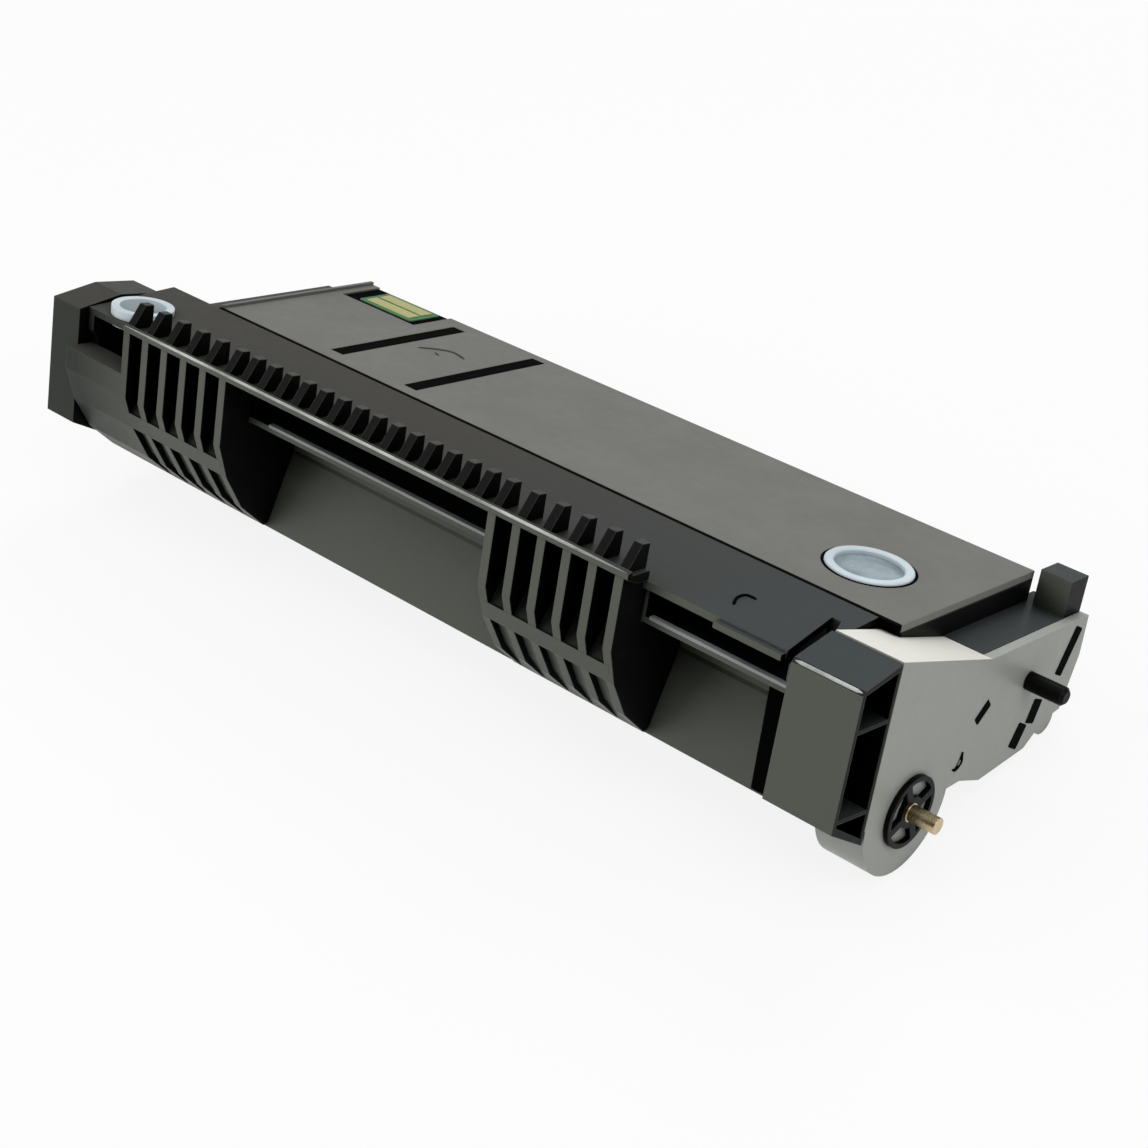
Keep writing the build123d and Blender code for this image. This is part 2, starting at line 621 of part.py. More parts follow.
def gear_face(teeth, centre, phase, bore):
    """Spur gear face: each tooth is as wide at its tip and its root as the involute there."""
    pitch = pitch_radius(teeth)
    base = pitch * cos(radians(pressure_angle))
    tip = pitch + addendum * gear_module
    root = pitch - dedendum * gear_module
    half_pitch_angle = pi / (2 * teeth) - backlash / (4 * pitch) + involute(radians(pressure_angle))

    def half_width(radius):
        return degrees(half_pitch_angle - involute(acos(base / max(radius, base))))

    points = []
    for tooth in range(teeth):
        middle = phase + 360 * tooth / teeth
        points += [
            stepped(centre, root, middle - half_width(root)), stepped(centre, tip, middle - half_width(tip)),
            stepped(centre, tip, middle + half_width(tip)), stepped(centre, root, middle + half_width(root))]
    with BuildSketch(Plane.XY) as face:
        with BuildLine():
            Polyline(*points, close=True)
        make_face()
        if bore:
            with Locations(centre):
                Circle(bore, mode=Mode.SUBTRACT)
    return face.sketch


def gear_slice(teeth, centre, phase, bore, x_right, width=gear_width):
    """One gear between x_right and its width further left, inside a part block."""
    with BuildSketch(side(x_right)) as face:
        add(gear_face(teeth, centre, phase, bore))
    extrude(face.sketch, amount=-width)


def meshed_phase(phase, teeth, centre, other_teeth, other_centre):
    """Angle of a tooth of the second gear that puts a gap against the first gear's tooth."""
    direction = heading(centre, other_centre)
    return direction + 180 - (phase - direction) * teeth / other_teeth + 180 / other_teeth


drum_phase = developer_direction
developer_phase = meshed_phase(drum_phase, drum_teeth, drum_at, developer_teeth, developer_at)
idler_phase = meshed_phase(developer_phase, developer_teeth, developer_at, idler_big_teeth, idler_at)
supply_phase = meshed_phase(idler_phase, idler_small_teeth, idler_at, supply_teeth, supply_at)
agitator_idler_phase = meshed_phase(
    idler_phase, idler_small_teeth, idler_at, agitator_idler_teeth, agitator_idler_at)
agitator_phase = meshed_phase(
    agitator_idler_phase, agitator_idler_teeth, agitator_idler_at, agitator_teeth, agitator_at)

# Drum: coated tube, gear flange with the drive coupling at the left, plain flange at the right
tube_left_x = hopper_left_x + 0.6
tube_right_x = frame_right_x - end_wall - 3.0
flange_depth = 8.0
flange_play = 0.6
socket_radius = 5.2
socket_depth = 5.0
drive_boss_proud = 2.4
bore_radius = drum_radius - drum_wall
with BuildPart() as drum_tube:
    rod(drum_at, drum_radius, tube_left_x, tube_right_x)
    rod(drum_at, bore_radius, tube_left_x, tube_right_x, Mode.SUBTRACT)
keep(drum_tube, "drum_tube")

with BuildPart() as drum_gear_flange:
    gear_slice(drum_teeth, drum_at, drum_phase, 0, outer_gear_x)
    rod(drum_at, bore_radius, outer_gear_x, tube_left_x + flange_depth)
    rod(drum_at, drive_boss_radius, outer_gear_x, left_outer_x - drive_boss_proud)
    with BuildSketch(side(left_outer_x - drive_boss_proud)) as socket:
        with Locations(drum_at):
            RegularPolygon(socket_radius, 3)
    extrude(socket.sketch, amount=socket_depth, mode=Mode.SUBTRACT)
    rod(drum_at, drum_shaft_radius + run_fit, shaft_left_x - seat_gap, tube_left_x + flange_depth,
        Mode.SUBTRACT)
keep(drum_gear_flange, "drum_gear_flange")

with BuildPart() as drum_end_flange:
    rod(drum_at, bore_radius, tube_right_x - flange_depth, frame_right_x - end_wall - flange_play)
    rod(drum_at, drum_shaft_radius + run_fit, tube_right_x - flange_depth, frame_right_x, Mode.SUBTRACT)
keep(drum_end_flange, "drum_end_flange")

# Charge roller on its steel core, two sliding holders and their springs
rubber_left_x = holder_left_x + holder_width + 3.0
rubber_right_x = holder_right_x - holder_width - 3.0
with BuildPart() as charge_roller_core:
    rod(charge_at, charge_core_radius, holder_left_x + 0.4, holder_right_x - 0.4)
keep(charge_roller_core, "charge_roller_core")
with BuildPart() as charge_roller_rubber:
    rod(charge_at, charge_radius, rubber_left_x, rubber_right_x)
    rod(charge_at, charge_core_radius, rubber_left_x, rubber_right_x, Mode.SUBTRACT)
keep(charge_roller_rubber, "charge_roller_rubber")

holder_top_z = charge_at[1] + 4.4
holder_stations = (holder_left_x + holder_width / 2, holder_right_x - holder_width / 2)
with BuildPart() as charge_roller_holders:
    for x_mid in holder_stations:
        bar(charge_at[0] - 4.6, charge_at[0] + holder_half, charge_at[1] - 2.0, holder_top_z,
            x_mid - holder_width / 2 + seat_gap, x_mid + holder_width / 2 - seat_gap)
    rod(charge_at, charge_core_radius + run_fit, frame_left_x, frame_right_x, Mode.SUBTRACT)
keep(charge_roller_holders, "charge_roller_holders")

# Leaf springs: one leg under the strip, a bend, and one leg on the holder
leaf_thickness = 0.4
leaf_width = 3.2
leaf_front_y = charge_at[0] - 4.4
leaf_back_y = strip_back_y - wall - 0.6
leaf_roof_z = strip_z(leaf_back_y) - wall - leaf_thickness - 0.3
with BuildPart() as charge_springs:
    for x_mid in holder_stations:
        prism([(leaf_back_y, holder_top_z + 0.1), (leaf_front_y + 1.0, holder_top_z + 4.0),
               (leaf_front_y, holder_top_z + 6.0), (leaf_back_y, leaf_roof_z),
               (leaf_back_y, leaf_roof_z + leaf_thickness),
               (leaf_front_y - leaf_thickness, holder_top_z + 6.4),
               (leaf_front_y - leaf_thickness, holder_top_z + 5.4), (leaf_front_y + 0.4, holder_top_z + 3.6),
               (leaf_back_y - 0.6, holder_top_z + 0.1)],
              x_mid - leaf_width / 2, x_mid + leaf_width / 2)
keep(charge_springs, "charge_springs")

# Cleaning blade on its folded steel bracket
bracket_thickness = 1.2
blade_left_x = holder_left_x + holder_width + 1.5
blade_right_x = holder_right_x - holder_width - 1.5
bracket_y = back_wall_y + wall + seat_gap
bracket_low_z = drum_z + 18.4
bracket_high_z = bracket_low_z + 14.6
blade_direction = 130.6
blade_gap = 0.6
blade_tip = stepped(drum_at, drum_radius + blade_gap, blade_direction)
with BuildPart() as cleaning_blade_bracket:
    prism([(bracket_y, bracket_low_z + 1.6), (bracket_y, bracket_high_z),
           (bracket_y + bracket_thickness, bracket_high_z), (bracket_y + bracket_thickness, bracket_low_z),
           (bracket_y - 0.6, bracket_low_z), (bracket_y - 0.6, bracket_low_z + 1.2)],
          blade_left_x, blade_right_x)
keep(cleaning_blade_bracket, "cleaning_blade_bracket")
with BuildPart() as cleaning_blade:
    prism([(bracket_y - 0.6, bracket_low_z), (bracket_y + 0.8, bracket_low_z),
           (blade_tip[0] + 1.2, blade_tip[1] + 0.9), blade_tip], blade_left_x, blade_right_x)
keep(cleaning_blade, "cleaning_blade")

# Developer roller: steel core, sleeve and gear
sleeve_left_x = hopper_left_x + end_wall + 8.0
sleeve_right_x = hopper_right_x - end_wall - 8.0
with BuildPart() as developer_roller_core:
    rod(developer_at, core_radius, outer_gear_x - gear_width, contact_x - 1.0)
keep(developer_roller_core, "developer_roller_core")
with BuildPart() as developer_roller_sleeve:
    rod(developer_at, developer_radius, sleeve_left_x, sleeve_right_x)
    rod(developer_at, core_radius, sleeve_left_x, sleeve_right_x, Mode.SUBTRACT)
keep(developer_roller_sleeve, "developer_roller_sleeve")
with BuildPart() as developer_gear:
    gear_slice(developer_teeth, developer_at, developer_phase, core_radius, outer_gear_x)
keep(developer_gear, "developer_gear")

# Supply roller: steel core, foam sleeve and gear
with BuildPart() as supply_roller_core:
    rod(supply_at, core_radius, inner_gear_x - gear_width, hopper_right_x + 2.0)
keep(supply_roller_core, "supply_roller_core")
with BuildPart() as supply_roller_foam:
    rod(supply_at, supply_radius, sleeve_left_x, sleeve_right_x)
    rod(supply_at, core_radius, sleeve_left_x, sleeve_right_x, Mode.SUBTRACT)
keep(supply_roller_foam, "supply_roller_foam")
with BuildPart() as supply_gear:
    gear_slice(supply_teeth, supply_at, supply_phase, core_radius, inner_gear_x)
keep(supply_gear, "supply_gear")

# Compound idler and agitator idler, turning on the hopper's studs
with BuildPart() as compound_idler:
    gear_slice(idler_small_teeth, idler_at, idler_phase, stud_radius + run_fit, inner_gear_x,
               inner_gear_x - outer_gear_x)
    gear_slice(idler_big_teeth, idler_at, idler_phase, stud_radius + run_fit, outer_gear_x)
keep(compound_idler, "compound_idler")
with BuildPart() as agitator_idler:
    gear_slice(agitator_idler_teeth, agitator_idler_at, agitator_idler_phase, stud_radius + run_fit,
               inner_gear_x)
keep(agitator_idler, "agitator_idler")

# Agitator: shaft with arms, clear film paddle and gear
arms = 4
arm_pitch = 55.0
with BuildPart() as agitator_shaft:
    rod(agitator_at, agitator_shaft_radius, inner_gear_x - gear_width, hopper_right_x + 2.0)
    for arm in range(arms):
        x_mid = (hopper_left_x + hopper_right_x) / 2 + (arm - (arms - 1) / 2) * arm_pitch
        bar(agitator_y + 1.6, agitator_y + agitator_sweep - 3.0, agitator_z - 1.2, agitator_z + 0.2,
            x_mid - 2.0, x_mid + 2.0)
keep(agitator_shaft, "agitator_shaft")
with BuildPart() as agitator_film:
    bar(agitator_y + core_radius, agitator_y + agitator_sweep, agitator_z + 0.2, agitator_z + 0.5,
        sleeve_left_x - 4.0, sleeve_right_x + 4.0)
keep(agitator_film, "agitator_film")
with BuildPart() as agitator_gear:
    gear_slice(agitator_teeth, agitator_at, agitator_phase, agitator_shaft_radius, inner_gear_x)
keep(agitator_gear, "agitator_gear")

# Square-sided bushings of the three shafts in the hopper's end walls
bush_lip = 0.1
with BuildPart() as hopper_bushings:
    for x_from in (hopper_left_x, hopper_right_x - end_wall):
        for centre, radius in hopper_shafts:
            square_bar(centre, radius + bush_wall - run_fit, x_from - bush_lip, x_from + end_wall + bush_lip)
            rod(centre, radius + run_fit, x_from - bush_lip, x_from + end_wall + bush_lip, Mode.SUBTRACT)
keep(hopper_bushings, "hopper_bushings")

# Doctor blade over the developer roller, on its bracket under the hopper's front wall
doctor_top = front_wall_low_z - seat_gap
doctor_low = doctor_top - bracket_thickness
doctor_front_y = hopper_front_y + 5.4
doctor_depth = 8.4
doctor_tip_z = developer_at[1] + developer_radius + 0.3
with BuildPart() as doctor_blade_bracket:
    bar(doctor_front_y, doctor_front_y + doctor_depth, doctor_low, doctor_top, sleeve_left_x, sleeve_right_x)
keep(doctor_blade_bracket, "doctor_blade_bracket")
with BuildPart() as doctor_blade:
    prism([(doctor_front_y + 2.4, doctor_low), (doctor_front_y + 2.4, doctor_low - 0.5),
           (developer_at[0] + 0.6, doctor_tip_z), (developer_at[0] + 0.8, doctor_tip_z + 0.4),
           (doctor_front_y + 4.4, doctor_low)], sleeve_left_x, sleeve_right_x)
keep(doctor_blade, "doctor_blade")

# Film that seals the gap under the developer roller
with BuildPart() as developer_seal_film:
    prism([(floor_lip[0] + 4.0, floor_lip[1] + 2.3), (floor_lip[0] - 1.0, floor_lip[1] + 1.7),
           (developer_at[0] - 0.4, developer_at[1] - developer_radius - 0.6),
           (developer_at[0] - 0.4, developer_at[1] - developer_radius - 0.35),
           (floor_lip[0] - 1.0, floor_lip[1] + 2.0), (floor_lip[0] + 4.0, floor_lip[1] + 2.6)],
          sleeve_left_x, sleeve_right_x)
keep(developer_seal_film, "developer_seal_film")

# Contacts at the right end and the cover screw
with BuildPart() as developer_contact:
    prism([(developer_at[0] - 3.0, developer_at[1] - 2.5), (developer_at[0] - 3.0, developer_at[1] + 2.5),
           (78.0, 9.0), (84.0, 9.5), (99.0, 13.0), (99.0, 7.0), (90.0, -0.8), (80.0, -2.0), (76.0, 3.0),
           (62.0, developer_at[1] - 2.5)], contact_x, contact_x + contact_thickness)
keep(developer_contact, "developer_contact")
with BuildPart() as charge_contact:
    prism([(charge_at[0] - 3.0, charge_at[1] - 3.0), (charge_at[0] - 3.0, 31.0), (charge_at[0] + 0.4, 31.0),
           (charge_at[0] + 0.4, rear_wall_low_z - 1.0), (charge_at[0] + 2.6, charge_at[1] - 3.0)],
          frame_right_x - end_wall - seat_gap - contact_thickness, frame_right_x - end_wall - seat_gap)
keep(charge_contact, "charge_contact")
screw_slot = (6.2, 1.6)
screw_slot_angle = 42.0
with BuildPart() as cover_screw:
    rod(cover_screw_at, screw_head_radius - run_fit, -screw_head_height, 0)
    rod(cover_screw_at, screw_radius - run_fit, -screw_length, -screw_head_height)
    with BuildSketch(side(0)) as slot:
        with Locations(Location(cover_screw_at, screw_slot_angle)):
            Rectangle(*screw_slot)
    extrude(slot.sketch, amount=-screw_head_height * 0.8, mode=Mode.SUBTRACT)
keep(cover_screw, "cover_screw")

# Lean the whole cartridge back to its rest, with the origin under the middle of its box
whole = Compound(children=[piece.rotate(Axis.X, -lean) for piece in model.values()]).bounding_box()
rest_shift = Location((-whole.center().X, -whole.center().Y, -whole.min.Z))
for name, piece in model.items():
    laid = piece.rotate(Axis.X, -lean).move(rest_shift)
    laid.label = name
    export_step(laid, f"parts/{name}.step")

for name, centre in (("drum", drum_at), ("developer", developer_at), ("supply", supply_at),
                     ("charge", charge_at), ("idler", idler_at), ("agitator_idler", agitator_idler_at),
                     ("agitator", agitator_at), ("guide_pin", guide_pin_at)):
    spot = rest_shift * Location((0, 0, 0), (-lean, 0, 0)) * Location((0, *centre))
    print(name, "axis at", round(spot.position.Y, 4), round(spot.position.Z, 4))
print("lean", round(lean, 4), "shift", rest_shift.position, "box", whole.size)
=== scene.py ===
import json
import math
import bmesh
import bpy
import numpy as np
from mathutils import Matrix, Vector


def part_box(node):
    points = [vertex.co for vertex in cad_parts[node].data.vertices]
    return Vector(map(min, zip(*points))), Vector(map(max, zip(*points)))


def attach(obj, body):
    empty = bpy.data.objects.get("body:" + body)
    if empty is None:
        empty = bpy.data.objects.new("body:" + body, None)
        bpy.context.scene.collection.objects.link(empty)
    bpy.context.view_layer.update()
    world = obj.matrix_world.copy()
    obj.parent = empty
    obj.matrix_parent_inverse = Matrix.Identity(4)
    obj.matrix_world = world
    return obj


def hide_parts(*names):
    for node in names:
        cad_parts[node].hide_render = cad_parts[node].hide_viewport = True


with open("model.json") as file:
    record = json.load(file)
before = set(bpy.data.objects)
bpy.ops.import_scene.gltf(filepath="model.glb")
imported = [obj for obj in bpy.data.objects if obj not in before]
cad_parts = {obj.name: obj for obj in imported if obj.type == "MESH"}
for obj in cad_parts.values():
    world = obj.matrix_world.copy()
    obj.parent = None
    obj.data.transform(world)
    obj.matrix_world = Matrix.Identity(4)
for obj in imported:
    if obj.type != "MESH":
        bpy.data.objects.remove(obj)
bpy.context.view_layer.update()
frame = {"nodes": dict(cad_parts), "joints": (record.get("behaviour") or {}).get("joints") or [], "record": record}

# Toner cartridge: finishes with painted light and shade, small moulded details, sheets and lines of
# painted shade and highlight, studio and camera. Metres, in the frame of the imported model.
nodes = frame["nodes"]
jointAt = {joint["name"]: joint["pos_m"] for joint in frame["joints"]}
print("frame loaded,", len(nodes), "nodes")

cartridge = {  # two axes in the side view, lid level: depth y from the fins' front, and height z
    "drumY": 0.0375, "drumZ": -0.005,
    "agitatorY": 0.0885, "agitatorZ": 0.013,
}
drumRest = np.array(jointAt["drum_turn"][1:])
agitatorRest = np.array(jointAt["agitator_turn"][1:])
levelAngle = math.atan2(cartridge["agitatorZ"] - cartridge["drumZ"],
                        cartridge["agitatorY"] - cartridge["drumY"])
restAngle = math.atan2(*(agitatorRest - drumRest)[::-1])
lean = levelAngle - restAngle  # the cartridge rests leaned back by this angle
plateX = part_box("right_end_cover")[1][0]  # the right end plate's outer face, where x is 0


# Turns points of the level cartridge about the drum's axis by the lean and moves them to where it
# rests: the new depth is y cos + z sin, and the new height is z cos - y sin, both from that axis
def toRest(points):
    x, y, z = np.moveaxis(np.asarray(points, float), -1, 0)
    y, z = y - cartridge["drumY"], z - cartridge["drumZ"]
    turnedY = drumRest[0] + y * math.cos(lean) + z * math.sin(lean)
    turnedZ = drumRest[1] - y * math.sin(lean) + z * math.cos(lean)
    return np.stack([x + plateX, turnedY, turnedZ], axis=-1)


# A new material, its node tree and its surface shader
def startMaterial(name):
    material = bpy.data.materials.new(name)
    material.use_nodes = True
    tree = material.node_tree
    return material, tree, tree.nodes["Principled BSDF"]


# A shader node with some of its inputs set
def addNode(tree, kind, **inputs):
    made = tree.nodes.new("ShaderNode" + kind)
    for key, value in inputs.items():
        made.inputs[key].default_value = value
    return made


# Gives an input a number or a colour, or links another node's output to it
def feed(tree, socket, value):
    if isinstance(value, bpy.types.NodeSocket):
        tree.links.new(value, socket)
    else:
        socket.default_value = (*value, 1.0) if isinstance(value, tuple) else value


# One of the three parts of a vector
def partOf(tree, vector, axis):
    parts = tree.nodes.new("ShaderNodeSeparateXYZ")
    tree.links.new(vector, parts.inputs["Vector"])
    return parts.outputs[axis]


# Soft noise from 0 to 1 at each place, whose detail adds finer layers by the share "roughness"
def noiseOf(tree, coordinates, scale, detail, roughness):
    noise = addNode(tree, "TexNoise", Scale=scale, Detail=detail, Roughness=roughness)
    tree.links.new(coordinates, noise.inputs["Vector"])
    return noise.outputs["Fac"]


# Straight line from the first value at one place of the factor to the second value at another place
def rampOf(tree, factor, places, values):
    ramp = tree.nodes.new("ShaderNodeValToRGB")
    tree.links.new(factor, ramp.inputs["Fac"])
    for element, position, value in zip(ramp.color_ramp.elements, places, values):
        element.position = position
        element.color = (*(value if isinstance(value, tuple) else (value, value, value)), 1.0)
    return ramp.outputs["Color"]


# The source's two ends become the target's, straight in between and level outside
def spanOf(tree, value, source, target=(0.0, 1.0)):
    span = tree.nodes.new("ShaderNodeMapRange")
    for end, given in zip(("From Min", "From Max", "To Min", "To Max"), (*source, *target)):
        feed(tree, span.inputs[end], given)
    tree.links.new(value, span.inputs["Value"])
    return span.outputs["Result"]


# The first colour where the factor is 0 and the second where it is 1, straight in between; at
# "MULTIPLY" the second stands for the product of both
def mixColour(tree, factor, first, second, blend="MIX"):
    mix = tree.nodes.new("ShaderNodeMix")
    mix.data_type = "RGBA"
    mix.blend_type = blend
    for end, given in zip(("Factor", "A", "B"), (factor, first, second)):
        feed(tree, mix.inputs[end], given)
    return mix.outputs["Result"]


surface = {  # what all finishes share
    "edgeSamples": 4, "edgeSharpness": 0.25,  # fall of the normals' product that is a full edge
    "paintedShadeSamples": 6, "paintedShadeRamp": (0.3, 0.75),  # openness where the painted recess shade is darkest, and where it stops
    "faces": {  # a direction's axis, and its parts along it where a face's share starts and is full
        "slope": ("Z", (0.6, 0.75)), "top": ("Z", (0.88, 0.93)),
        "front": ("Y", (-0.62, -0.75)), "end": ("X", (0.6, 0.8)),
    },
}


# Normal rounded over the radius, and where it leaves the flat one by their dot product: 1 on an
# edge and 0 on a flat face
def edgeMask(tree, radius):
    bevel = addNode(tree, "Bevel", Radius=radius)
    bevel.samples = surface["edgeSamples"]
    geometry = tree.nodes.new("ShaderNodeNewGeometry")
    product = tree.nodes.new("ShaderNodeVectorMath")
    product.operation = "DOT_PRODUCT"
    tree.links.new(bevel.outputs["Normal"], product.inputs[0])
    tree.links.new(geometry.outputs["True Normal"], product.inputs[1])
    places = (1.0 - surface["edgeSharpness"], 1.0)
    return bevel.outputs["Normal"], rampOf(tree, product.outputs["Value"], places, (1.0, 0.0))


# Painted shade in the recesses: the colour times a share that falls where walls stand close
def paintedRecessShade(tree, colour, reach, least):
    nearby = addNode(tree, "AmbientOcclusion", Distance=reach)
    nearby.samples = surface["paintedShadeSamples"]
    kept = rampOf(tree, nearby.outputs["AO"], surface["paintedShadeRamp"], (least, 1.0))
    return mixColour(tree, 1.0, colour, kept, "MULTIPLY")


# Share of a face that looks to one side, from the part of its direction along that side's axis
def facing(tree, side):
    axis, ends = surface["faces"][side]
    geometry = tree.nodes.new("ShaderNodeNewGeometry")
    return spanOf(tree, partOf(tree, geometry.outputs["True Normal"], axis), ends)


# Painted light and shade by side: each side's colour covers the faces that look that way, and
# tops and fronts change from a left to a right colour along x
def paintedSideLight(tree, coordinates, tone, paintedSides):
    across = partOf(tree, coordinates, "X")
    for side in ("slope", "top", "front", "end"):
        shade = paintedSides[side]
        if isinstance(shade, dict):
            place = spanOf(tree, across, shade["span"])
            shade = mixColour(tree, place, shade["left"], shade["right"])
        tone = mixColour(tree, facing(tree, side), tone, shade)
    return tone


# Bump from a pattern's height, on top of the normal that rounds the edges
def addBump(tree, shader, height, rounded, strength, distance):
    bump = addNode(tree, "Bump", Strength=strength, Distance=distance)
    tree.links.new(height, bump.inputs["Height"])
    tree.links.new(rounded, bump.inputs["Normal"])
    tree.links.new(bump.outputs["Normal"], shader.inputs["Normal"])


# Moulded plastic: the colour darker and lighter by the share "cloud", then painted light and shade
# by side, pale dust, edges lighter by wear and a painted highlight, painted shade in the recesses and a fine grain
# in the bump
def plastic(name, values):
    material, tree, shader = startMaterial(name)
    coordinates = tree.nodes.new("ShaderNodeTexCoord").outputs["Object"]
    cloud, dust, grain = (
        noiseOf(tree, coordinates, values[kind + "Scale"], *values[kind + "Noise"])
        for kind in ("cloud", "dust", "grain"))
    clouds = [tuple(min(1.0, channel * share) for channel in values["colour"])
              for share in (1.0 - values["cloud"], 1.0 + values["cloud"])]
    tone = rampOf(tree, cloud, values["cloudRamp"], clouds)
    if "paintedSides" in values:
        tone = paintedSideLight(tree, coordinates, tone, values["paintedSides"])
    dusty = rampOf(tree, dust, values["dustRamp"], (0.0, values["dust"]))
    tone = mixColour(tree, dusty, tone, values["dustColour"])
    # edges lighter by wear and a painted highlight
    rounded, edge = edgeMask(tree, values["edgeRadius"])
    wornAndLit = rampOf(tree, edge, (0.0, 1.0), (0.0, values["edgeWearAndHighlight"]))
    tone = mixColour(tree, wornAndLit, tone, values["edgeWearAndHighlightColour"])
    if values["paintedShadeLeast"] < 1.0:
        tone = paintedRecessShade(tree, tone, values["paintedShadeReach"], values["paintedShadeLeast"])
    tree.links.new(tone, shader.inputs["Base Color"])
    roughs = [values["roughness"] + change for change in values["roughSpread"]]
    tree.links.new(rampOf(tree, dust, values["roughRamp"], roughs), shader.inputs["Roughness"])
    shader.inputs["IOR"].default_value = values["ior"]
    addBump(tree, shader, grain, rounded, values["grain"], values["grainHeight"])
    return material


plasticBase = {  # scales per metre; each noise as detail and roughness; each ramp as its two places
    "cloud": 0.1, "cloudScale": 30.0, "cloudNoise": (4.0, 0.6), "cloudRamp": (0.35, 0.65),
    "dust": 0.02, "dustScale": 260.0, "dustNoise": (6.0, 0.7), "dustRamp": (0.55, 0.8),
    "dustColour": (0.2, 0.2, 0.18),
    "grain": 0.2, "grainScale": 2600.0, "grainNoise": (2.0, 0.5), "grainHeight": 0.00008,
    # edges get lighter by wear and by a painted highlight
    "edgeRadius": 0.0004, "edgeWearAndHighlight": 0.6, "edgeWearAndHighlightColour": (0.12, 0.125, 0.11),
    "roughness": 0.4, "roughSpread": (-0.06, 0.08), "roughRamp": (0.3, 0.75),
    # painted shade in the recesses: the least share of the colour kept, and how near walls darken it
    "ior": 1.14, "paintedShadeLeast": 0.06, "paintedShadeReach": 0.02,
}
paleBase = {**plasticBase, "edgeWearAndHighlightColour": (0.6, 0.61, 0.58), "paintedShadeLeast": 0.5, "paintedShadeReach": 0.006}
# Painted light and shade on the black mouldings by the way a face looks: near-black slopes and ends, and tops and
# fronts in their own tones that change along x
blackPaintedLight = {
    "slope": (0.005, 0.005, 0.005),
    "top": {"left": (0.052, 0.051, 0.046), "right": (0.048, 0.056, 0.057), "span": (0.0, 0.13)},
    "front": {"left": (0.029, 0.033, 0.027), "right": (0.092, 0.100, 0.083),
              "span": (-0.135, -0.100)},
    "end": (0.004, 0.0042, 0.004),
}
plateGrey = (0.262, 0.276, 0.250)
# Painted light on the end plate: a far lighter slope and a lighter top; fronts and ends keep its grey
platePaintedLight = {"slope": (0.82, 0.81, 0.75), "top": (0.36, 0.37, 0.34),
              "front": plateGrey, "end": plateGrey}
finishes = {
    "matte_black_plastic": plastic("mouldedBlack", {
        **plasticBase, "colour": (0.034, 0.037, 0.032), "paintedSides": blackPaintedLight}),
    "grained_black_plastic": plastic("lidGrain", {
        **plasticBase, "colour": (0.150, 0.150, 0.136), "grain": 0.7, "cloud": 0.06,
        "cloudScale": 50.0, "ior": 1.4, "roughness": 0.6, "edgeWearAndHighlightColour": (0.22, 0.22, 0.2),
        "paintedShadeLeast": 0.1, "paintedShadeReach": 0.004}),
    "black_plastic": plastic("satinBlack", {
        **plasticBase, "colour": (0.004, 0.004, 0.0045), "edgeWearAndHighlight": 0.2}),
    "satin_light_plastic": plastic("endPlate", {
        **paleBase, "colour": plateGrey, "paintedSides": platePaintedLight, "ior": 1.45}),
    "white_plastic": plastic("capWhite", {
        **paleBase, "colour": (0.56, 0.64, 0.68), "roughness": 0.35,
        "edgeWearAndHighlightColour": (0.9, 0.9, 0.9)}),
    "white_gear_plastic": plastic("acetal", {
        **paleBase, "colour": (0.70, 0.70, 0.67), "roughness": 0.38,
        "edgeWearAndHighlightColour": (0.85, 0.85, 0.83), "dust": 0.03}),
    "green_board": plastic("solderMask", {
        **paleBase, "colour": (0.05, 0.16, 0.07), "roughness": 0.3,
        "edgeWearAndHighlightColour": (0.2, 0.35, 0.15)}),
    "foam_roller": plastic("openFoam", {
        **plasticBase, "colour": (0.05, 0.05, 0.05), "roughness": 0.9, "grain": 1.0,
        "grainScale": 1500.0}),
    "foam_seal": plastic("foamSeal", {
        **plasticBase, "colour": (0.02, 0.02, 0.02), "roughness": 0.9, "ior": 1.2}),
    "roller_rubber": plastic("groundRubber", {
        **plasticBase, "colour": (0.02, 0.02, 0.02), "roughness": 0.6}),
    "blade_rubber": plastic("amberRubber", {**paleBase, "colour": (0.42, 0.25, 0.09)}),
    "clear_film": plastic("sealFilm", {**paleBase, "colour": (0.55, 0.56, 0.54), "roughness": 0.2}),
    "drum_coating": plastic("drumCoat", {
        **plasticBase, "colour": (0.02, 0.14, 0.18), "roughness": 0.16, "dust": 0.0, "grain": 0.0,
        "ior": 1.5}),
}


# Turned or rolled metal: noise drawn out by the mapping's scale, in colour, roughness and bump
def metal(name, values):
    material, tree, shader = startMaterial(name)
    coordinates = tree.nodes.new("ShaderNodeTexCoord").outputs["Object"]
    stretch = addNode(tree, "Mapping", Scale=values["stretch"])
    tree.links.new(coordinates, stretch.inputs["Vector"])
    marks = noiseOf(tree, stretch.outputs["Vector"], values["markScale"], *values["markNoise"])
    shader.inputs["Metallic"].default_value = 1.0
    dark = tuple(channel * values["darker"] for channel in values["colour"])
    colours = rampOf(tree, marks, values["markRamp"], (dark, values["colour"]))
    tree.links.new(colours, shader.inputs["Base Color"])
    roughs = (values["roughness"], values["roughness"] + values["roughSpread"])
    tree.links.new(rampOf(tree, marks, values["markRamp"], roughs), shader.inputs["Roughness"])
    rounded = edgeMask(tree, values["edgeRadius"])[0]
    addBump(tree, shader, marks, rounded, values["marks"], values["markHeight"])
    return material


